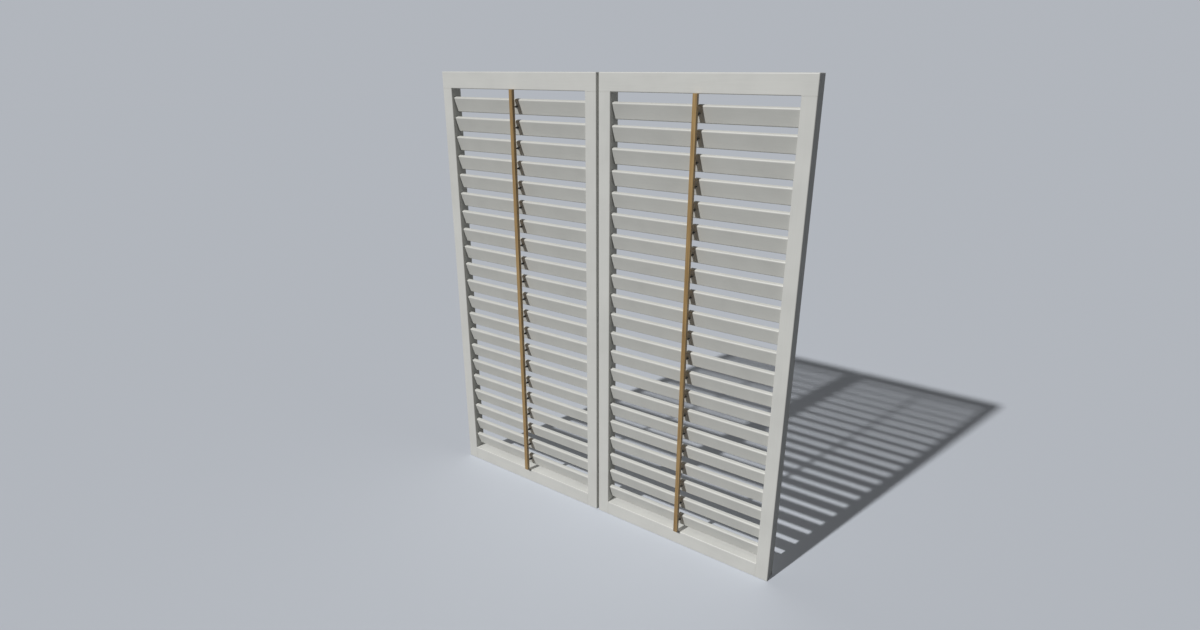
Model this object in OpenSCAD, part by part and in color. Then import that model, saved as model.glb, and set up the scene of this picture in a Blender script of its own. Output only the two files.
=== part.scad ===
// A pair of louvred shutters: two framed leaves of tilting slats, hinged together to fold back to back.
// X runs along the width, Y from the front to the back and Z up.
// The origin is at the bottom, in the middle of the width and of the depth from the rods to the hinges.

/* [Leaf] */
// Width of one leaf
leaf_w = 596; // [400:1:900]
// Height of a leaf
leaf_h = 1390; // [1250:1:1800]
// Depth of the stiles and rails, from front to back
leaf_d = 40; // [36:0.5:60]
// Width of a stile, seen from the front
stile_w = 38; // [36:0.5:80]
// Height of the top rail
top_rail_h = 50; // [42:0.5:100]
// Height of the bottom rail
bottom_rail_h = 46.5; // [40:0.5:100]
// Radius of the rounded edges of the frame
edge_r = 2.5; // [1:0.1:4]

/* [Frame joints] */
// Thickness of a tenon, from front to back
tenon_t = 13; // [8:0.5:18]
// Length of the tenon on the top of a stile
stile_tenon_l = 30; // [15:0.5:34]
// Length of the tenon on the end of the bottom rail
rail_tenon_l = 24; // [12:0.5:28]
// Step from a member's edge in to its tenon
tenon_shoulder = 8; // [4:0.5:12]
// Room for glue around a tenon
glue_gap = 0.1; // [0.05:0.05:0.3]
// Width and depth of the fine line around a member's end where it meets another
seam_w = 0.4; // [0.2:0.1:1]

/* [Slats] */
// Number of slats in a leaf
slat_count = 21; // [3:1:22]
// Width of a slat across its face
slat_chord = 47; // [30:0.5:48]
// Thickness of a slat
slat_t = 13; // [9:0.5:14]
// Radius of a slat's long edges
slat_edge_r = 4; // [1:0.1:4.4]
// Chamfer around a slat's ends
slat_end_chamfer = 1.5; // [0.5:0.1:3]
// Tilt of a slat from upright, with its top edge towards the front
slat_tilt = 18; // [0:0.5:26]
// Gap between a slat's end and the stile
slat_end_gap = 1; // [1:0.1:5]
// Height from the first slat's pivot up to the top rail
first_slat_drop = 48; // [30:0.5:90]
// Height from the bottom rail up to the last slat's pivot
last_slat_rise = 36.5; // [30:0.5:90]
// Diameter of the round pin on a slat's end
pivot_d = 8; // [5:0.5:9]
// Length of that pin inside the stile
pivot_l = 10; // [6:0.5:14]
// Radial room between a pivot pin and its bore
pivot_gap = 0.05; // [0.01:0.01:0.1]

/* [Tilt rod] */
// Width of the rod, seen from the front
rod_w = 12.5; // [8:0.5:20]
// Depth of the rod, from front to back
rod_d = 11; // [9:0.5:20]
// Radius of the rod's long edges
rod_edge_r = 1; // [0.3:0.1:2]
// Gap from the rod back to the front of the frame
rod_gap = 3.6; // [2:0.1:8]
// How far the rod's top reaches up past the lower edge of the top rail, in front of it
rod_top_lap = 1.4; // [0:0.1:20]
// Gap from the bottom rail up to the foot of the rod
rod_foot_gap = 5.5; // [3:0.1:20]

/* [Rod links] */
// Outer diameter of the eye
eye_d = 6.4; // [5:0.1:8]
// Thickness of the eye across the rod
eye_t = 3; // [2:0.1:4]
// Diameter of the eye's shank
shank_d = 4; // [2.5:0.1:4.5]
// Length of the shank inside the rod
shank_l = 7.5; // [5:0.1:8]
// Diameter of the staple's crossbar, which passes through the eye
crossbar_d = 2.4; // [1.6:0.1:2.6]
// Diameter of the staple's legs
staple_leg_d = 2; // [1.2:0.1:2.2]
// Distance between the middles of the staple's legs
staple_span = 8; // [7:0.1:14]
// Length of a staple leg inside the slat
staple_leg_l = 7; // [4:0.1:8]
// Gap between the eye and the slat's face
eye_face_gap = 0.5; // [0.3:0.1:2]
// Radial room of the crossbar in the eye
crossbar_gap = 0.1; // [0.05:0.01:0.2]

/* [Hinges] */
// Number of hinges between the leaves
hinge_count = 3; // [2:1:4]
// Height of a hinge
hinge_l = 64; // [50:1:90]
// Height from a leaf's end to the middle of its nearest hinge
hinge_end_h = 160; // [120:1:300]
// Thickness of a hinge plate
plate_t = 2; // [1.9:0.1:3]
// Depth of a hinge plate on the stile's edge
plate_d = 24; // [22:0.5:30]
// Diameter of the hinge pin
hinge_pin_d = 4; // [3:0.1:6]
// Wall of a knuckle around the pin
knuckle_wall = 2.2; // [2.1:0.1:3]
// Number of knuckles in a hinge
knuckle_count = 5; // [3:2:7]
// Gap between two knuckles
knuckle_gap = 0.3; // [0.1:0.05:1]
// Gap between the knuckles and the plane of the frame's back
knuckle_back_gap = 0.5; // [0.3:0.1:3]
// Diameter of the pin's end buttons
button_d = 6.6; // [5:0.1:8]
// Thickness of a button
button_t = 1.6; // [1:0.1:3]
// Radial room of the hinge pin in its knuckles
hinge_pin_gap = 0.05; // [0.01:0.01:0.1]
// Distance between a plate's screws from front to back
screw_spacing_y = 12; // [8:0.5:14]
// Distance between a plate's screws along its height
screw_spacing_z = 44; // [30:0.5:50]
// Distance from the frame's back to the nearest screws
screw_back_inset = 6; // [5:0.5:8]
// Diameter of a screw's shank
screw_d = 3.4; // [2.5:0.1:3.6]
// Diameter of a screw's countersunk head
screw_head_d = 6.8; // [5.5:0.1:7]
// Length of a screw inside the stile
screw_l = 16; // [10:0.5:20]
// Width and depth of the slot in a screw's head
screw_slot = 0.8; // [0.4:0.1:1]
// Radial room around a screw
screw_gap = 0.05; // [0.02:0.01:0.1]
// Diameter of the pilot holes that the pair is hung by
pilot_d = 3; // [2:0.1:4]
// Depth of those pilot holes
pilot_l = 18; // [10:0.5:20]

/* [Hidden] */
$fn = 48;
cut_over = 1;                 // how far a cut runs past the face that it opens
bore_end_gap = 1;             // free length at the end of a blind hole

leaf_gap = 2 * plate_t + hinge_pin_d;        // two folded plates with the pin's width between them
knuckle_r = hinge_pin_d / 2 + knuckle_wall;
hinge_back = knuckle_back_gap + knuckle_r;   // from the frame's back to the hinge axis

front_y = (rod_gap + rod_d - leaf_d - hinge_back - knuckle_r) / 2;
mid_y = front_y + leaf_d / 2;
back_y = front_y + leaf_d;
hinge_y = back_y + hinge_back;

opening_w = leaf_w - 2 * stile_w;
opening_top = leaf_h - top_rail_h;
stile_h = opening_top;

slat_l = opening_w - 2 * slat_end_gap;
first_slat_z = opening_top - first_slat_drop;
last_slat_z = bottom_rail_h + last_slat_rise;
slat_pitch = (first_slat_z - last_slat_z) / (slat_count - 1);
pivot_bore_r = pivot_d / 2 + pivot_gap;

crossbar_out = slat_t / 2 + eye_d / 2 + eye_face_gap;   // from a slat's middle plane to the crossbar
crossbar_up = crossbar_out * tan(slat_tilt);            // sets the crossbar level with the pivot at rest
crossbar_y = mid_y - crossbar_out / cos(slat_tilt);

rod_back_y = front_y - rod_gap;
rod_top = opening_top + rod_top_lap;
rod_foot = bottom_rail_h + rod_foot_gap;

knuckle_l = (hinge_l - (knuckle_count - 1) * knuckle_gap) / knuckle_count;
screw_y = back_y - screw_back_inset - screw_spacing_y / 2;   // middle of a plate's screw pattern
screw_sink = (screw_head_d - screw_d) / 2;                   // depth of a 90 degree countersunk head

paint = [0.86, 0.86, 0.83];
rod_brown = [0.55, 0.43, 0.26];
dark_steel = [0.25, 0.25, 0.26];
bright_steel = [0.62, 0.63, 0.64];

SIDES = ["left", "right"];
function two_digits(i) = i < 10 ? str("0", i) : str(i);
function slat_name(side, i) = str(side, "_slat_", two_digits(i));
function slat_z(i) = first_slat_z - (i - 1) * slat_pitch;
function hinge_z(k) = hinge_end_h + k * (leaf_h - 2 * hinge_end_h) / (hinge_count - 1);

// Places a piece of the right leaf as drawn, and mirrors it for the left leaf
module on_side(side) {
    mirror([side == "left" ? 1 : 0, 0, 0]) children();
}

// Waste outside a rounded edge that runs along X from the origin, with the material towards +Y and +Z
module edge_waste(l) {
    rotate([90, 0, 90]) linear_extrude(l) difference() {
        translate([-cut_over, -cut_over]) square(edge_r + cut_over);
        translate([edge_r, edge_r]) circle(edge_r);
    }
}

// The same waste on an upright edge that rises from the origin, with the material towards +X and +Y
module upright_edge_waste(l) {
    linear_extrude(l) difference() {
        translate([-cut_over, -cut_over]) square(edge_r + cut_over);
        translate([edge_r, edge_r]) circle(edge_r);
    }
}

// The same waste on an edge that runs from front to back, with the material towards +X and +Z
module end_edge_waste() {
    translate([0, back_y + cut_over, 0]) rotate([0, 0, -90]) edge_waste(leaf_d + 2 * cut_over);
}

// Copies a cut on the front onto the back of a member
module front_and_back() {
    translate([0, front_y, 0]) children();
    translate([0, back_y, 0]) mirror([0, 1, 0]) children();
}

// Rectangle a by b around the origin, with round corners
module round_rectangle(a, b, r) {
    square([a - 2 * r, b], center = true);
    square([a, b - 2 * r], center = true);
    for (sx = [-1, 1], sy = [-1, 1])
        translate([sx * (a / 2 - r), sy * (b / 2 - r)]) circle(r);
}

// Waste of the fine line around the end of a member a by b, where the end is seam_w up from the origin
module seam_waste(a, b) {
    linear_extrude(seam_w + cut_over) difference() {
        square([a + 2 * cut_over, b + 2 * cut_over], center = true);
        round_rectangle(a - 2 * seam_w, b - 2 * seam_w, edge_r);
    }
}

// Upright member of the right leaf between x0 and x0 + stile_w, with its tenon and slat bores;
// open_side is +1 where the slats lie towards +X and -1 where they lie towards -X
module stile(x0, open_side) {
    inner_x = open_side > 0 ? x0 + stile_w : x0;
    outer_x = open_side > 0 ? x0 : x0 + stile_w;
    tenon_w = stile_w - 2 * tenon_shoulder;
    difference() {
        union() {
            translate([x0, front_y, 0]) cube([stile_w, leaf_d, stile_h]);
            translate([x0 + tenon_shoulder, mid_y - tenon_t / 2, stile_h - cut_over])
                cube([tenon_w, tenon_t, stile_tenon_l + cut_over]);
        }
        front_and_back() {
            translate([outer_x, 0, -cut_over]) mirror([open_side > 0 ? 0 : 1, 0, 0])
                upright_edge_waste(stile_h + cut_over);
            translate([inner_x, 0, bottom_rail_h]) mirror([open_side > 0 ? 1 : 0, 0, 0])
                upright_edge_waste(stile_h - bottom_rail_h);
            translate([x0 - cut_over, 0, 0]) edge_waste(stile_w + 2 * cut_over);
        }
        translate([outer_x, 0, 0]) mirror([open_side > 0 ? 0 : 1, 0, 0]) end_edge_waste();
        translate([x0 + stile_w / 2, mid_y, stile_h - seam_w]) seam_waste(stile_w, leaf_d);
        translate([inner_x, mid_y, bottom_rail_h / 2])
            cube([2 * (rail_tenon_l + bore_end_gap), tenon_t + 2 * glue_gap,
                bottom_rail_h - 2 * tenon_shoulder + 2 * glue_gap], center = true);
        for (i = [1:slat_count]) translate([inner_x, mid_y, slat_z(i)]) rotate([0, 90, 0])
            cylinder(r = pivot_bore_r, h = 2 * (pivot_l + bore_end_gap), center = true);
    }
}

// Screw holes of one hinge in the face x of a stile, running l deep towards +X
module hinge_hole_pattern(x, l, r) {
    for (k = [0:hinge_count - 1], sy = [-1, 1], sz = [-1, 1])
        translate([x, screw_y + sy * screw_spacing_y / 2, hinge_z(k) + sz * screw_spacing_z / 2])
            rotate([0, 90, 0]) translate([0, 0, -cut_over]) cylinder(r = r, h = l + cut_over);
}

module inner_stile(side) {
    color(paint) on_side(side) difference() {
        stile(leaf_gap / 2, 1);
        hinge_hole_pattern(leaf_gap / 2, screw_l + bore_end_gap, screw_d / 2 + screw_gap);
    }
}

module outer_stile(side) {
    outer_x = leaf_gap / 2 + leaf_w;
    color(paint) on_side(side) difference() {
        stile(outer_x - stile_w, -1);
        if (side == "left") translate([outer_x, 0, 0]) mirror([1, 0, 0])
            hinge_hole_pattern(0, pilot_l, pilot_d / 2);
    }
}

module top_rail(side) {
    x0 = leaf_gap / 2;
    mortise_w = stile_w - 2 * tenon_shoulder + 2 * glue_gap;
    color(paint) on_side(side) difference() {
        translate([x0, front_y, opening_top]) cube([leaf_w, leaf_d, top_rail_h]);
        front_and_back() {
            translate([x0 - cut_over, 0, leaf_h]) mirror([0, 0, 1]) edge_waste(leaf_w + 2 * cut_over);
            translate([x0 + stile_w, 0, opening_top]) edge_waste(opening_w);
            translate([x0, 0, opening_top - cut_over]) upright_edge_waste(top_rail_h + 2 * cut_over);
            translate([x0 + leaf_w, 0, opening_top - cut_over]) mirror([1, 0, 0])
                upright_edge_waste(top_rail_h + 2 * cut_over);
        }
        translate([x0, 0, leaf_h]) mirror([0, 0, 1]) end_edge_waste();
        translate([x0 + leaf_w, 0, leaf_h]) mirror([0, 0, 1]) mirror([1, 0, 0]) end_edge_waste();
        for (x = [x0 + stile_w / 2, x0 + leaf_w - stile_w / 2])
            translate([x, mid_y, opening_top])
                cube([mortise_w, tenon_t + 2 * glue_gap, 2 * (stile_tenon_l + bore_end_gap)], center = true);
    }
}

module bottom_rail(side) {
    x0 = leaf_gap / 2 + stile_w;
    color(paint) on_side(side) difference() {
        union() {
            translate([x0, front_y, 0]) cube([opening_w, leaf_d, bottom_rail_h]);
            translate([x0 - rail_tenon_l, mid_y - tenon_t / 2, tenon_shoulder])
                cube([opening_w + 2 * rail_tenon_l, tenon_t, bottom_rail_h - 2 * tenon_shoulder]);
        }
        front_and_back() {
            translate([x0 - cut_over, 0, bottom_rail_h]) mirror([0, 0, 1])
                edge_waste(opening_w + 2 * cut_over);
            translate([x0 - cut_over, 0, 0]) edge_waste(opening_w + 2 * cut_over);
        }
        for (sx = [-1, 1])
            translate([leaf_mid_x + sx * (opening_w / 2 - seam_w), mid_y, bottom_rail_h / 2])
                rotate([90, 0, 90 * sx]) seam_waste(leaf_d, bottom_rail_h);
    }
}

// Middle of a leaf, where its rod and links stand
leaf_mid_x = leaf_gap / 2 + leaf_w / 2;

// A slat lies along X around its pivot axis and is upright here; its front faces -Y
module slat_blade() {
    end_x = slat_l / 2;
    end_y = slat_t / 2 - slat_end_chamfer;
    face_x = end_x - slat_end_chamfer - cut_over;
    face_y = slat_t / 2 + cut_over;
    intersection() {
        rotate([90, 0, 90]) linear_extrude(slat_l + 2 * cut_over, center = true)
            round_rectangle(slat_t, slat_chord, slat_edge_r);
        linear_extrude(slat_chord + 2 * cut_over, center = true) polygon([
            [end_x, -end_y], [end_x, end_y], [face_x, face_y], [-face_x, face_y],
            [-end_x, end_y], [-end_x, -end_y], [-face_x, -face_y], [face_x, -face_y]
        ]);
    }
}

module slat(side, i) {
    on_side(side) translate([leaf_mid_x, mid_y, slat_z(i)]) rotate([slat_tilt, 0, 0]) {
        color(paint) difference() {
            union() {
                slat_blade();
                rotate([0, 90, 0])
                    cylinder(d = pivot_d, h = slat_l + 2 * (slat_end_gap + pivot_l), center = true);
            }
            for (sx = [-1, 1]) translate([sx * staple_span / 2, 0, crossbar_up]) rotate([90, 0, 0])
                translate([0, 0, slat_t / 2 - staple_leg_l - bore_end_gap])
                    cylinder(d = staple_leg_d + 2 * crossbar_gap, h = staple_leg_l + bore_end_gap + cut_over);
        }
        staple();
    }
}

// Wire staple on a slat's front, with its crossbar along X
module staple() {
    color(dark_steel) translate([0, -crossbar_out, crossbar_up]) {
        rotate([0, 90, 0]) cylinder(d = crossbar_d, h = staple_span - crossbar_d / 2, center = true);
        for (sx = [-1, 1]) translate([sx * staple_span / 2, 0, 0]) rotate([-90, 0, 0])
            cylinder(d = staple_leg_d, h = crossbar_out - slat_t / 2 + staple_leg_l);
    }
}

module tilt_rod(side) {
    color(rod_brown) on_side(side) difference() {
        translate([leaf_mid_x, rod_back_y - rod_d / 2, rod_foot])
            linear_extrude(rod_top - rod_foot) round_rectangle(rod_w, rod_d, rod_edge_r);
        for (i = [1:slat_count]) translate([leaf_mid_x, rod_back_y + cut_over, slat_z(i)])
            rotate([90, 0, 0])
                cylinder(d = shank_d + 2 * pivot_gap, h = shank_l + bore_end_gap + cut_over);
    }
}

// Eyes in the back of the rod, each around the crossbar of one slat's staple
module rod_eyes(side) {
    color(dark_steel) on_side(side) for (i = [1:slat_count])
        translate([leaf_mid_x, crossbar_y, slat_z(i)]) difference() {
            union() {
                rotate([0, 90, 0]) cylinder(d = eye_d, h = eye_t, center = true);
                rotate([90, 0, 0]) cylinder(d = shank_d, h = crossbar_y - rod_back_y + shank_l);
            }
            rotate([0, 90, 0])
                cylinder(d = crossbar_d + 2 * crossbar_gap, h = shank_d + 2 * cut_over, center = true);
        }
}

// One plate of a hinge at the origin's height, for the right leaf; first is its lowest knuckle
module hinge_plate(first) {
    tongue_y = hinge_y - knuckle_r - knuckle_gap;
    difference() {
        union() {
            translate([leaf_gap / 2 - plate_t, back_y - plate_d, -hinge_l / 2])
                cube([plate_t, tongue_y - back_y + plate_d, hinge_l]);
            for (k = [first:2:knuckle_count - 1])
                translate([0, 0, k * (knuckle_l + knuckle_gap) - hinge_l / 2]) {
                    translate([0, hinge_y, 0]) cylinder(r = knuckle_r, h = knuckle_l);
                    translate([leaf_gap / 2 - plate_t, tongue_y - cut_over, 0])
                        cube([plate_t, hinge_y - tongue_y + cut_over, knuckle_l]);
                }
        }
        translate([0, hinge_y, -hinge_l / 2 - cut_over])
            cylinder(d = hinge_pin_d, h = hinge_l + 2 * cut_over);
        for (sy = [-1, 1], sz = [-1, 1])
            translate([leaf_gap / 2 - plate_t, screw_y + sy * screw_spacing_y / 2, sz * screw_spacing_z / 2])
                screw_shape(screw_gap, plate_t + cut_over);
    }
}

// Countersunk screw with its head at the origin and its shank towards +X, grown by room all round
module screw_shape(room, l) {
    head_r = screw_head_d / 2 + room;
    shank_r = screw_d / 2 + room;
    rotate([0, 90, 0]) rotate_extrude() polygon([
        [0, -room], [head_r, -room], [head_r, 0], [shank_r, screw_sink], [shank_r, l], [0, l]
    ]);
}

module hinge_plates(side) {
    color(bright_steel) on_side(side) for (k = [0:hinge_count - 1])
        translate([0, 0, hinge_z(k)]) hinge_plate(side == "left" ? 0 : 1);
}

module hinge_pins() {
    button_gap = hinge_pin_gap;
    color(bright_steel) for (k = [0:hinge_count - 1]) translate([0, hinge_y, hinge_z(k)]) {
        cylinder(r = hinge_pin_d / 2 - hinge_pin_gap, h = hinge_l + 2 * button_gap + button_t, center = true);
        for (sz = [-1, 1]) translate([0, 0, sz * (hinge_l / 2 + button_gap + button_t / 2)])
            cylinder(d = button_d, h = button_t, center = true);
    }
}

module hinge_screws(side) {
    color(bright_steel) on_side(side) for (k = [0:hinge_count - 1], sy = [-1, 1], sz = [-1, 1])
        translate([leaf_gap / 2 - plate_t, screw_y + sy * screw_spacing_y / 2,
            hinge_z(k) + sz * screw_spacing_z / 2]) difference() {
            screw_shape(0, plate_t + screw_l);
            cube([2 * screw_slot, screw_slot, screw_head_d + cut_over], center = true);
        }
}

for (side = SIDES) {
    outer_stile(side);
    inner_stile(side);
    top_rail(side);
    bottom_rail(side);
    tilt_rod(side);
    rod_eyes(side);
    for (i = [1:slat_count]) slat(side, i);
    hinge_plates(side);
    hinge_screws(side);
}
hinge_pins();
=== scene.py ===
# %% [markdown]
# # Louvred shutters
# Two framed leaves of tilting slats stand side by side, hinged together. Each leaf has a brown
# timber rod at the front, linked to every slat, so that one hand tilts them all.
# The solids come ready made, at their real size and in their real place. This script gives them
# their finishes, adds the bent wire staples that show on the slats, and sets up the light, the
# floor and the camera.

from math import cos, pi, radians, sin, tan

import bmesh
import bpy
from mathutils import Matrix, Vector


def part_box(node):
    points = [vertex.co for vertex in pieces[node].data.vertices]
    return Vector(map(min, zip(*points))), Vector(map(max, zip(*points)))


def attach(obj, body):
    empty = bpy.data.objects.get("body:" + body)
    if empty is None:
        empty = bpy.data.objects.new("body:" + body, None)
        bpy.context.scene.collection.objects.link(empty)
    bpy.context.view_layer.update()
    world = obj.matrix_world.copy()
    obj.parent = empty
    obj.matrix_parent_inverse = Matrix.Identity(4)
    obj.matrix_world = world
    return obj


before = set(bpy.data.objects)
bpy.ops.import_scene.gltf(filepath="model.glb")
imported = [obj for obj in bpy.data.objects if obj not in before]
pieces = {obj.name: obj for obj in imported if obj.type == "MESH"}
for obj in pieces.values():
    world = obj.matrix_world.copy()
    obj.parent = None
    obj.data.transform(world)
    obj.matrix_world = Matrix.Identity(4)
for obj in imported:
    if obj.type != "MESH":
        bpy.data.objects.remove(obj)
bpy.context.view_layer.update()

# %% [markdown]
# ## Measures of the real pieces
# The finishes and the staples need a few sizes. All of them could be typed in, but a place that the
# solids show is measured on them, so that both stay in step. A slat turns on a pivot at the middle
# of the frame's depth, and rests with its top edge leaning towards the front. The eyes of a rod are
# level with the pivots, so they give the heights of the first and the last pivot.

# %% Sizes and places
MM = 0.001
LEAVES = ("left", "right")
SLATS = range(1, 22)
SLAT_TILT = radians(18)
SLAT_THICKNESS = 13 * MM
SLAT_WIDTH = 47 * MM
EYE_RADIUS = 3.2 * MM

rail_low, rail_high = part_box("left_top_rail")
frame_front = rail_low.y
pivot_y = (frame_front + rail_high.y) / 2
eyes_low, eyes_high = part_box("left_rod_eyes")
first_pivot_z = eyes_high.z - EYE_RADIUS
last_pivot_z = eyes_low.z + EYE_RADIUS
slat_pitch = (first_pivot_z - last_pivot_z) / (len(SLATS) - 1)
print(f"pivots at y {pivot_y:.5f} m, from z {last_pivot_z:.4f} to {first_pivot_z:.4f} m")
print(f"slat pitch {slat_pitch:.5f} m")

# %% [markdown]
# ## A small kit for finishes
# On the shutters a finish is paint, varnish or plating. In Blender it is a network of nodes: a place
# on the piece goes in, and colour, gloss and relief come out. The network could be drawn by hand in
# the shader editor. A script can repeat it for every piece, but each node takes several lines there,
# so a few short helpers start a material, add a node, and feed its inputs.

# %% Materials and nodes
def opaque(colour):
    """A colour with the fourth channel that sockets ask for."""
    return (*colour, 1)


def start_finish(name, colour, roughness, metallic=0.0):
    """A material with plain values on its shader, ready for detail."""
    finish = bpy.data.materials.new(name)
    finish.use_nodes = True
    shader = finish.node_tree.nodes["Principled BSDF"]
    shader.inputs["Base Color"].default_value = opaque(colour)
    shader.inputs["Roughness"].default_value = roughness
    shader.inputs["Metallic"].default_value = metallic
    return finish, shader


def feed(finish, value, target):
    """Joins another node's socket to the target, or sets the target to a plain value."""
    if isinstance(value, bpy.types.NodeSocket):
        finish.node_tree.links.new(value, target)
    else:
        target.default_value = value


def add_node(finish, kind, **inputs):
    """A node of that kind. Each input is a plain value or another node's socket."""
    node = finish.node_tree.nodes.new(kind)
    for name, value in inputs.items():
        feed(finish, value, node.inputs[name.replace("_", " ")])
    return node


print("node helpers ready")

# %% [markdown]
# ## Noise along a piece
# Brush marks, wood grain and rubbed metal are all long in one direction and fine in the others. A
# picture of them would repeat and show where it ends. Noise does neither, and it can be drawn out
# along any axis. Its place is read in the piece's own coordinates, so a finish stays put when a slat
# tilts or a leaf folds. Noise rarely comes near 0 or 1, so it is spread out before it is used.

# %% Noise helpers
NOISE_ROUGHNESS = 0.55
NOISE_LOW, NOISE_HIGH = 0.3, 0.7


def stretched_noise(finish, stretch, size, detail):
    """Noise with specks of that size in metres, drawn out by stretch along X, Y and Z."""
    place = add_node(finish, "ShaderNodeTexCoord").outputs["Object"]
    scale = [1 / (size * length) for length in stretch]
    scaled = add_node(finish, "ShaderNodeMapping", Vector=place, Scale=scale).outputs["Vector"]
    noise = add_node(finish, "ShaderNodeTexNoise", Vector=scaled, Scale=1.0, Detail=detail,
                     Roughness=NOISE_ROUGHNESS)
    return noise.outputs["Fac"]


def spread(finish, noise, low, high):
    """Noise spread over the range from low to high."""
    node = add_node(finish, "ShaderNodeMapRange", Value=noise, From_Min=NOISE_LOW, From_Max=NOISE_HIGH,
                    To_Min=low, To_Max=high)
    return node.outputs["Result"]


print("noise lies mostly between", NOISE_LOW, "and", NOISE_HIGH)

# %% [markdown]
# ## Sums, mixes and relief
# A real finish is a few layers, and what the eye sees is their sum. Numbers are added with math
# nodes, colours are picked along a ramp or mixed, and fine relief is left to the shading. It could
# be modelled, but brush marks a few hundredths of a millimetre high would need millions of faces.

# %% Sums of layers
def arithmetic(finish, operation, *values):
    """Math on sockets or plain numbers."""
    node = add_node(finish, "ShaderNodeMath")
    node.operation = operation
    for socket, value in zip(node.inputs, values):
        feed(finish, value, socket)
    return node.outputs["Value"]


def weighted_sum(finish, *layers):
    """Adds up layers, each a socket with its weight."""
    shares = [arithmetic(finish, "MULTIPLY", socket, weight) for socket, weight in layers]
    total = shares[0]
    for share in shares[1:]:
        total = arithmetic(finish, "ADD", total, share)
    return total


print("math helpers ready")

# %% Colours and relief
def colour_steps(finish, factor, *steps):
    """Colours along a factor: each step is a place from 0 to 1 and a colour."""
    ramp = add_node(finish, "ShaderNodeValToRGB", Fac=factor)
    elements = ramp.color_ramp.elements
    while len(elements) < len(steps):
        elements.new(0.5)
    for element, (place, colour) in zip(elements, steps):
        element.position = place
        element.color = opaque(colour)
    return ramp.outputs["Color"]


def mixed(finish, factor, low, high):
    """A colour that goes from low to high with the factor. Each is a socket or a plain colour."""
    mix = add_node(finish, "ShaderNodeMix")
    mix.data_type = "RGBA"
    feed(finish, factor, mix.inputs["Factor"])
    feed(finish, low, mix.inputs["A"])
    feed(finish, high, mix.inputs["B"])
    return mix.outputs["Result"]


def relief(finish, shader, height, depth, strength):
    """Bumps the surface by a height from 0 to 1 over depth in metres."""
    bump = add_node(finish, "ShaderNodeBump", Height=height, Distance=depth, Strength=strength)
    feed(finish, bump.outputs["Normal"], shader.inputs["Normal"])


print("colour and relief helpers ready")

# %% [markdown]
# ## Where hands rub
# Paint and varnish are thinnest on the edges, and hands polish them there. An edge finder that
# shoots rays is slow, and these pieces are straight bars, so the place on the bar is enough: a
# point lies on a long edge where it is close to two neighbouring faces at once. A bar along an
# axis reads that from its own box. A slat leans, and all slats share one rhythm, so its height is
# wrapped to the nearest pivot and then turned by the tilt.

# %% Closeness to an edge
EDGE_MIDDLE = 0.3


def edge_factor(finish, depths, radius):
    """1 in the middle of a rounded edge, and 0 where it runs into the flat faces."""
    deepest = arithmetic(finish, "MAXIMUM", *depths)
    fade = add_node(finish, "ShaderNodeMapRange", Value=deepest, From_Min=EDGE_MIDDLE * radius,
                    From_Max=radius, To_Min=1.0, To_Max=0.0)
    return fade.outputs["Result"]


def place_on_piece(finish, kind):
    """The sockets X, Y and Z of a place, in the kind of coordinates that is named."""
    place = add_node(finish, "ShaderNodeTexCoord").outputs[kind]
    return add_node(finish, "ShaderNodeSeparateXYZ", Vector=place).outputs


print("an edge is rubbed most up to", EDGE_MIDDLE, "of its rounding")

# %% Edges of a bar
def bar_edges(node, across, radius):
    """An edge finder for a bar: across names the two axes of its section."""
    low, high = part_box(node)
    sizes = {axis: getattr(high - low, axis.lower()) for axis in across}

    def find(finish):
        place = place_on_piece(finish, "Generated")
        depths = []
        for axis, size in sizes.items():
            off_middle = arithmetic(finish, "SUBTRACT", place[axis], 0.5)
            share = arithmetic(finish, "SUBTRACT", 0.5, arithmetic(finish, "ABSOLUTE", off_middle))
            depths.append(arithmetic(finish, "MULTIPLY", share, size))
        return edge_factor(finish, depths, radius)

    return find


print("edge finder for bars ready")

# %% Edges of a slat
def slat_edges(radius):
    """An edge finder for the slats, which lean at rest."""
    sides = ((SLAT_TILT, SLAT_THICKNESS), (SLAT_TILT - pi / 2, SLAT_WIDTH))

    def find(finish):
        place = place_on_piece(finish, "Object")
        y = arithmetic(finish, "SUBTRACT", place["Y"], pivot_y)
        z = arithmetic(finish, "SUBTRACT", place["Z"], last_pivot_z)
        z = arithmetic(finish, "WRAP", z, slat_pitch / 2, -slat_pitch / 2)
        depths = []
        for lean, size in sides:
            off_middle = weighted_sum(finish, (y, cos(lean)), (z, sin(lean)))
            off_middle = arithmetic(finish, "ABSOLUTE", off_middle)
            depths.append(arithmetic(finish, "SUBTRACT", size / 2, off_middle))
        return edge_factor(finish, depths, radius)

    return find


print("edge finder for slats ready")

# %% [markdown]
# ## Off-white paint
# The frames and slats are softwood with a brushed satin paint. Up close a brush leaves fine ridges
# along the length of a piece, and the grain below shows as a faint ripple. From further off the
# film looks even, with a slight change of tone, and the edges let a little of the warmer undercoat
# through. One flat colour would look like plastic, so the film is built from three layers of noise.
# The ridges run upright on the stiles and level on the rails and slats, so the same recipe is used
# several times with a different direction.

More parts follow.
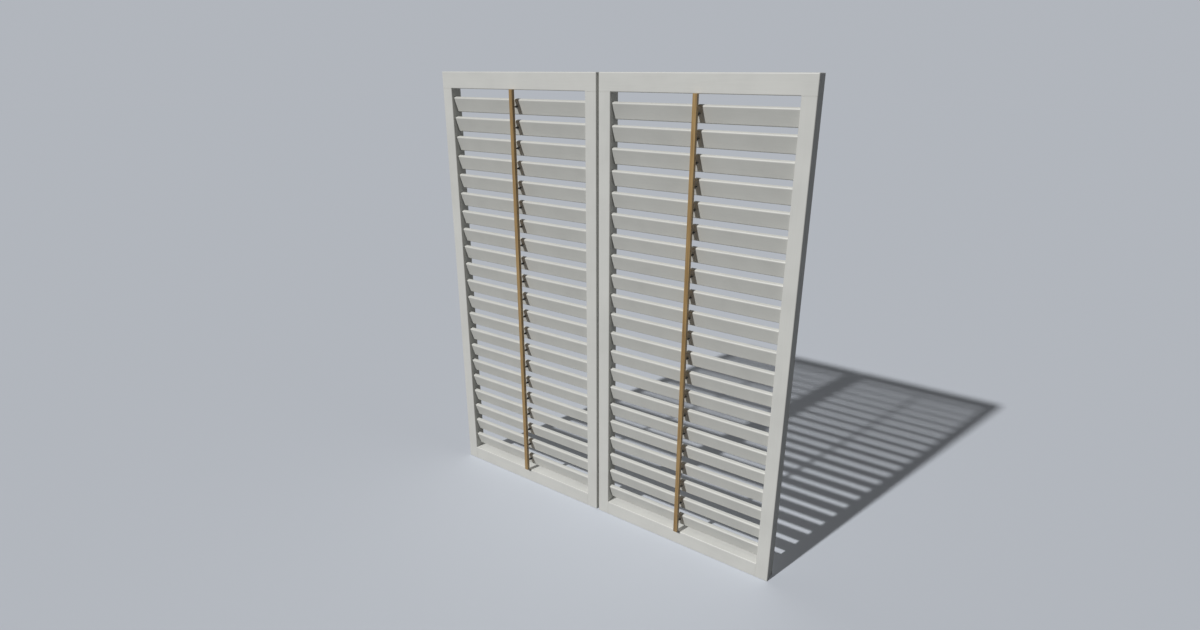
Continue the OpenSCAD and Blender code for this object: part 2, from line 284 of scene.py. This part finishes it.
# %% Paint colours and sizes
FRAME_PAINT = (0.622, 0.622, 0.592)
# The slats wear the same paint as the frame, but here their colour is that paint made darker. The darkening
# is painted shade, for the light that the leaning fronts of the slats miss.
SLAT_PAINT_SHADED = (0.580, 0.580, 0.548)
UNDERCOAT = (0.56, 0.54, 0.485)
UNDERCOAT_SHOWN = 0.30
DULLEST, LIGHTEST = 0.94, 1.04
DULL_TONE, MIDDLE_TONE, LIGHT_TONE = 0.32, 0.5, 0.68
SATIN = 0.48
SATIN_LOW, SATIN_HIGH = 0.42, 0.56
POLISH = 0.1
RUBBED_LEAST, RUBBED_MOST = 0.3, 1.0
RIDGE_SIZE, GRAIN_SIZE, CLOUD_SIZE = 1.1 * MM, 6 * MM, 90 * MM
CLOUDS_IN_TONE, RIDGES_IN_TONE = 0.6, 0.4
RIDGES_IN_RELIEF, GRAIN_IN_RELIEF = 0.45, 0.55
FILM_RELIEF, FILM_STRENGTH = 0.16 * MM, 0.5
UPRIGHT, LEVEL, EVEN = (1, 1, 60), (60, 1, 1), (1, 1, 1)
print("brush ridges of", RIDGE_SIZE / MM, "mm, grain of", GRAIN_SIZE / MM, "mm")

# %% Paint recipe
def shade(colour, factor):
    """A colour made darker or lighter."""
    return tuple(channel * factor for channel in colour)


def brushed_paint(name, colour, along, find_edges):
    """Satin paint brushed along an axis, and rubbed where the finder says that an edge is."""
    finish, shader = start_finish(name, colour, SATIN)
    ridges = stretched_noise(finish, along, RIDGE_SIZE, detail=4)
    grain = stretched_noise(finish, along, GRAIN_SIZE, detail=2)
    clouds = stretched_noise(finish, EVEN, CLOUD_SIZE, detail=2)

    tone = weighted_sum(finish, (clouds, CLOUDS_IN_TONE), (ridges, RIDGES_IN_TONE))
    film = colour_steps(finish, tone, (DULL_TONE, shade(colour, DULLEST)), (MIDDLE_TONE, colour),
                        (LIGHT_TONE, shade(colour, LIGHTEST)))
    patches = spread(finish, clouds, RUBBED_LEAST, RUBBED_MOST)
    rubbed = arithmetic(finish, "MULTIPLY", find_edges(finish), patches)
    shown = arithmetic(finish, "MULTIPLY", rubbed, UNDERCOAT_SHOWN)
    feed(finish, mixed(finish, shown, film, opaque(UNDERCOAT)), shader.inputs["Base Color"])

    satin = spread(finish, ridges, SATIN_LOW, SATIN_HIGH)
    polish = arithmetic(finish, "MULTIPLY", rubbed, POLISH)
    feed(finish, arithmetic(finish, "SUBTRACT", satin, polish), shader.inputs["Roughness"])
    height = weighted_sum(finish, (ridges, RIDGES_IN_RELIEF), (grain, GRAIN_IN_RELIEF))
    relief(finish, shader, height, FILM_RELIEF, FILM_STRENGTH)
    return finish


print("paint recipe ready")

# %% Paint finishes
FRAME_ROUNDING = 2.5 * MM
SLAT_ROUNDING = 4 * MM

finishes = {
    "stile": brushed_paint("stile_paint", FRAME_PAINT, UPRIGHT,
                           bar_edges("left_outer_stile", "XY", FRAME_ROUNDING)),
    "top_rail": brushed_paint("top_rail_paint", FRAME_PAINT, LEVEL,
                              bar_edges("left_top_rail", "YZ", FRAME_ROUNDING)),
    "bottom_rail": brushed_paint("bottom_rail_paint", FRAME_PAINT, LEVEL,
                                 bar_edges("left_bottom_rail", "YZ", FRAME_ROUNDING)),
    # The slats' darker paint colour is painted shade over the frame's paint.
    "slat": brushed_paint("slat_paint", SLAT_PAINT_SHADED, LEVEL, slat_edges(SLAT_ROUNDING)),
}
print("paints:", list(finishes))

# %% [markdown]
# ## Varnished rod
# The rods are a plain straight-grained timber under clear varnish, ochre to brown. A picture of wood
# would show its edges on the narrow faces. Noise runs right through the bar, as grain does, and is
# drawn out a long way up the rod: wide bands for the growth rings and thin dark lines for the pores.
# Varnish fills most of the pores, so the relief is small and a clear coat lies on top.

# %% Timber colours and sizes
PLAIN_TIMBER = (0.36, 0.23, 0.09)
WORN_TIMBER = (0.45, 0.31, 0.14)
TIMBER_STEPS = ((0.36, (0.18, 0.105, 0.036)), (0.48, (0.32, 0.200, 0.075)), (0.62, (0.42, 0.280, 0.118)))
RING_SIZE, PORE_SIZE, PATCH_SIZE = 2.6 * MM, 0.45 * MM, 60 * MM
RING_STRETCH, PORE_STRETCH, PATCH_STRETCH = (1, 1, 45), (1, 1, 70), (1, 1, 4)
RINGS_IN_TONE, PORES_IN_TONE, PATCHES_IN_TONE = 0.6, 0.25, 0.15
WORN_LEAST, WORN_MOST = 0.2, 0.6
TIMBER_GLOSS = 0.42
TIMBER_GLOSS_LOW, TIMBER_GLOSS_HIGH = 0.36, 0.5
VARNISH_WEIGHT, VARNISH_ROUGHNESS = 0.25, 0.25
PORE_RELIEF, PORE_STRENGTH = 0.08 * MM, 0.5
ROD_ROUNDING = 1 * MM
print("growth rings of", RING_SIZE / MM, "mm, pores of", PORE_SIZE / MM, "mm")

# %% Rod timber
def varnished_timber():
    """Timber with its grain up the rod, worn on the edges, under a clear coat."""
    finish, shader = start_finish("rod_timber", PLAIN_TIMBER, TIMBER_GLOSS)
    rings = stretched_noise(finish, RING_STRETCH, RING_SIZE, detail=3)
    pores = stretched_noise(finish, PORE_STRETCH, PORE_SIZE, detail=2)
    patches = stretched_noise(finish, PATCH_STRETCH, PATCH_SIZE, detail=1)

    tone = weighted_sum(finish, (rings, RINGS_IN_TONE), (pores, PORES_IN_TONE), (patches, PATCHES_IN_TONE))
    timber = colour_steps(finish, tone, *TIMBER_STEPS)
    find_edges = bar_edges("left_tilt_rod", "XY", ROD_ROUNDING)
    worn = arithmetic(finish, "MULTIPLY", find_edges(finish), spread(finish, patches, WORN_LEAST, WORN_MOST))
    feed(finish, mixed(finish, worn, timber, opaque(WORN_TIMBER)), shader.inputs["Base Color"])

    gloss = spread(finish, pores, TIMBER_GLOSS_LOW, TIMBER_GLOSS_HIGH)
    feed(finish, gloss, shader.inputs["Roughness"])
    shader.inputs["Coat Weight"].default_value = VARNISH_WEIGHT
    shader.inputs["Coat Roughness"].default_value = VARNISH_ROUGHNESS
    relief(finish, shader, pores, PORE_RELIEF, PORE_STRENGTH)
    return finish


finishes["tilt_rod"] = varnished_timber()
print("rod finish:", finishes["tilt_rod"].name)

# %% [markdown]
# ## Steel
# The wire links are dark oiled steel. The hinges are zinc plated: brighter, with the soft mottling
# of a plated sheet and fine rubbed lines. Both could be one even metal, but that looks like a
# mirror with a haze. The change is put in the gloss more than in the colour, as on real plating.

# %% Steel finishes
MOTTLE_SIZE, SCRATCH_SIZE = 3 * MM, 0.35 * MM
SCRATCH_STRETCH = (1, 1, 25)
MOTTLE_DARK, MOTTLE_LIGHT = 0.3, 0.7
SCRATCH_RELIEF, SCRATCH_STRENGTH = 0.02 * MM, 0.4


def steel(name, dark, light, gloss_low, gloss_high):
    """Metal mottled from dark to light, with rubbed lines that change its gloss."""
    middle = tuple((a + b) / 2 for a, b in zip(dark, light))
    finish, shader = start_finish(name, middle, (gloss_low + gloss_high) / 2, metallic=1.0)
    mottle = stretched_noise(finish, EVEN, MOTTLE_SIZE, detail=3)
    scratches = stretched_noise(finish, SCRATCH_STRETCH, SCRATCH_SIZE, detail=2)
    plating = colour_steps(finish, mottle, (MOTTLE_DARK, dark), (MOTTLE_LIGHT, light))
    feed(finish, plating, shader.inputs["Base Color"])
    feed(finish, spread(finish, scratches, gloss_low, gloss_high), shader.inputs["Roughness"])
    relief(finish, shader, scratches, SCRATCH_RELIEF, SCRATCH_STRENGTH)
    return finish


oiled_wire = steel("oiled_wire", dark=(0.085, 0.088, 0.088), light=(0.150, 0.154, 0.152),
                   gloss_low=0.38, gloss_high=0.55)
zinc_plate = steel("zinc_plate", dark=(0.50, 0.51, 0.53), light=(0.64, 0.65, 0.66),
                   gloss_low=0.28, gloss_high=0.45)
finishes["rod_eyes"] = oiled_wire
finishes["hinge"] = zinc_plate
print("steels:", oiled_wire.name, zinc_plate.name)

# %% [markdown]
# ## Finishes on the solids
# Each solid already has its place in the frame, so it only needs the right finish in its slot. That
# could be picked by hand, piece by piece. A word in the piece's name says what it is, and picks it.

# %% Give each solid its finish
def finish_for(name):
    """The finish whose word is in the piece's name."""
    return next(finish for word, finish in finishes.items() if word in name)


for name, piece in pieces.items():
    piece.data.materials.clear()
    piece.data.materials.append(finish_for(name))
print("finished solids:", len(pieces))

# %% [markdown]
# ## Wire staples
# In the middle of each slat a bent wire staple holds the eye of the rod. The slat's solid includes
# the staple, but in the slat's paint, so a bent wire of steel is fitted over it. A curve with a round
# bevel would do too. Here the wire is a mesh, a ring of points carried along a path: up one leg,
# round a small bend, across, and down again. One mesh then serves all the slats.

# %% Path of the wire
WIRE_RADIUS = 1.25 * MM
BEND_RADIUS = 1.0 * MM
HALF_SPAN = 4 * MM
CROSSBAR_OUT = 10.2 * MM
CROSSBAR_UP = CROSSBAR_OUT * tan(SLAT_TILT)
LEG_DEPTH = 2 * MM
LEG_END = SLAT_THICKNESS / 2 - LEG_DEPTH
WIRE_SIDES = 20
BEND_STEPS = 6


def staple_path():
    """Points of the wire's middle line, from one leg's end to the other's."""
    points = [(-HALF_SPAN, -LEG_END)]
    for side in (-1, 1):
        for step in range(BEND_STEPS + 1):
            turn = (step if side < 0 else BEND_STEPS - step) / BEND_STEPS * pi / 2
            x = HALF_SPAN - BEND_RADIUS + BEND_RADIUS * cos(turn)
            y = CROSSBAR_OUT - BEND_RADIUS + BEND_RADIUS * sin(turn)
            points.append((side * x, -y))
    points.append((HALF_SPAN, -LEG_END))
    return [Vector((x, y, CROSSBAR_UP)) for x, y in points]


wire_path = staple_path()
print("points along a staple:", len(wire_path))

# %% Staple mesh
def wire_ring(place, ahead):
    """Points around the wire at a place on its path, square to the way ahead."""
    up = Vector((0, 0, 1))
    across = up.cross(ahead.normalized())
    turns = [2 * pi * side / WIRE_SIDES for side in range(WIRE_SIDES)]
    return [place + WIRE_RADIUS * (cos(turn) * across + sin(turn) * up) for turn in turns]


def make_staple_mesh(path):
    """The wire as a tube with closed ends, smooth along its length."""
    wire = bmesh.new()
    rings = []
    for i, place in enumerate(path):
        ahead = path[min(i + 1, len(path) - 1)] - path[max(i - 1, 0)]
        rings.append([wire.verts.new(point) for point in wire_ring(place, ahead)])
    for ring, after in zip(rings, rings[1:]):
        for side in range(WIRE_SIDES):
            beside = (side + 1) % WIRE_SIDES
            wire.faces.new((ring[side], ring[beside], after[beside], after[side]))
    wire.faces.new(rings[0])
    wire.faces.new(reversed(rings[-1]))
    bmesh.ops.recalc_face_normals(wire, faces=wire.faces)
    for face in wire.faces:
        face.smooth = len(face.verts) == 4
    mesh = bpy.data.meshes.new("staple")
    wire.to_mesh(mesh)
    wire.free()
    mesh.materials.append(oiled_wire)
    return mesh


staple_mesh = make_staple_mesh(wire_path)
print("staple points:", len(staple_mesh.vertices))

# %% Fit a staple to every slat
for leaf in LEAVES:
    for number in SLATS:
        slat = f"{leaf}_slat_{number:02d}"
        low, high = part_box(slat)
        place = Vector(((low.x + high.x) / 2, pivot_y, first_pivot_z - (number - 1) * slat_pitch))
        staple = bpy.data.objects.new(f"{leaf}_staple_{number:02d}", staple_mesh)
        bpy.context.scene.collection.objects.link(staple)
        staple.matrix_world = Matrix.Translation(place) @ Matrix.Rotation(SLAT_TILT, 4, "X")
        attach(staple, slat)
    print(f"{leaf} leaf: {len(SLATS)} staples")

# %% [markdown]
# ## Lamps
# The main lamp stands to the left of the front, about forty degrees up, so the upper edges catch it,
# the slats are a little darker than the frame, and the rods throw thin shadows across the slats. A
# lamp close by would light one leaf more than the other, and a distant one lights both alike.
# The second lamp stands behind. It is there for the wide pale light of a room, which throws no shadow
# or glint that the eye can find, so both are off: it keeps the back from going dark and lifts the
# faces that look up.

# %% Lamps
KEY_LEVEL = 1.0
BACK_LEVEL = 0.45
TO_KEY = Vector((-0.198, -0.740, 0.643)).normalized()
TO_BACK = Vector((-0.20, 0.94, 0.28)).normalized()
LAMP_WIDTH = radians(1.5)


def add_lamp(name, level, towards, sharp):
    """A distant lamp. At level 1 a white face that looks straight at it comes out white.

    A sharp lamp throws a shadow and a glint, and a soft one neither.
    """
    lamp = bpy.data.lights.new(name, "SUN")
    lamp.energy = level * pi
    lamp.angle = LAMP_WIDTH
    lamp.use_shadow = sharp
    holder = bpy.data.objects.new(name, lamp)
    holder.rotation_euler = towards.to_track_quat("Z", "Y").to_euler()
    holder.visible_glossy = sharp
    bpy.context.scene.collection.objects.link(holder)


add_lamp("key", KEY_LEVEL, TO_KEY, sharp=True)
add_lamp("back", BACK_LEVEL, TO_BACK, sharp=False)
print("lamp levels:", KEY_LEVEL, BACK_LEVEL)

# %% [markdown]
# ## World
# An even grey world fills the rest of the shade. A brighter one would wash the shade out, so what
# lights the shutters is kept apart from what the camera sees: the camera, and a mirror or a glass,
# are shown the colour of the far floor, so that the floor has no visible end.

# %% World
FILL_LEVEL = 0.035
FILL_TINT = (0.97, 0.99, 1.0)
FLOOR_SEEN = (0.55, 0.58, 0.63)
light_on_floor = KEY_LEVEL * TO_KEY.z + BACK_LEVEL * TO_BACK.z + FILL_LEVEL
far_floor = shade(FLOOR_SEEN, light_on_floor)


def seen_directly(owner):
    """1 for what the camera sees, also in a mirror or through glass, and 0 for stray light."""
    ray = add_node(owner, "ShaderNodeLightPath").outputs
    through = arithmetic(owner, "MAXIMUM", ray["Is Glossy Ray"], ray["Is Transmission Ray"])
    return arithmetic(owner, "MAXIMUM", ray["Is Camera Ray"], through)


world = bpy.data.worlds.new("studio")
world.use_nodes = True
bpy.context.scene.world = world
fill = shade(FILL_TINT, FILL_LEVEL)
sky_colour = mixed(world, seen_directly(world), opaque(fill), opaque(far_floor))
feed(world, sky_colour, world.node_tree.nodes["Background"].inputs["Color"])
print("fill level:", FILL_LEVEL, "light on the floor:", round(light_on_floor, 3))

# %% [markdown]
# ## Floor
# A plain pale floor carries the shadow. A curved backdrop would hide the far edge, but a floor that
# runs far beyond the view has no edge to hide. It throws back less light than its colour would, so
# that the shade under the slats stays as deep as it is in a large room.

# %% Floor
FLOOR_WIDTH = 60
FLOOR_BOUNCE = (0.15, 0.155, 0.16)
FLOOR_ROUGHNESS = 0.9

bpy.ops.mesh.primitive_plane_add(size=FLOOR_WIDTH, location=(0, 0, 0))
floor = bpy.context.object
floor.name = "floor"
floor_finish, floor_shader = start_finish("floor_paint", FLOOR_SEEN, FLOOR_ROUGHNESS)
floor_shader.inputs["Specular IOR Level"].default_value = 0.0
floor_colour = mixed(floor_finish, seen_directly(floor_finish), opaque(FLOOR_BOUNCE), opaque(FLOOR_SEEN))
feed(floor_finish, floor_colour, floor_shader.inputs["Base Color"])
floor.data.materials.append(floor_finish)
print("floor:", floor.name, FLOOR_WIDTH, "m wide")

# %% [markdown]
# ## Camera
# The camera stands to the right of the front at about the height of the leaves, looking a little
# down, with a wide lens. It could be placed by eye. Its place was worked out from the edges of the
# frames instead, so that every edge falls where it should.

# %% Camera
PHOTO_WIDTH = 1200
FOCAL_PIXELS = 675.52
SENSOR_WIDTH = 36
CAMERA_RIGHT, CAMERA_BEFORE, CAMERA_UP = 1.10748, 1.56864, 1.39704
CAMERA_PITCH, CAMERA_TURN = radians(70), radians(35)

camera = bpy.data.objects.new("camera", bpy.data.cameras.new("camera"))
camera.data.sensor_width = SENSOR_WIDTH
camera.data.lens = SENSOR_WIDTH * FOCAL_PIXELS / PHOTO_WIDTH
camera.location = (CAMERA_RIGHT, frame_front - CAMERA_BEFORE, CAMERA_UP)
camera.rotation_euler = (CAMERA_PITCH, 0, CAMERA_TURN)
bpy.context.scene.collection.objects.link(camera)
bpy.context.scene.camera = camera
bpy.context.scene.view_settings.view_transform = "Standard"
print(f"lens {camera.data.lens:.3f} mm")
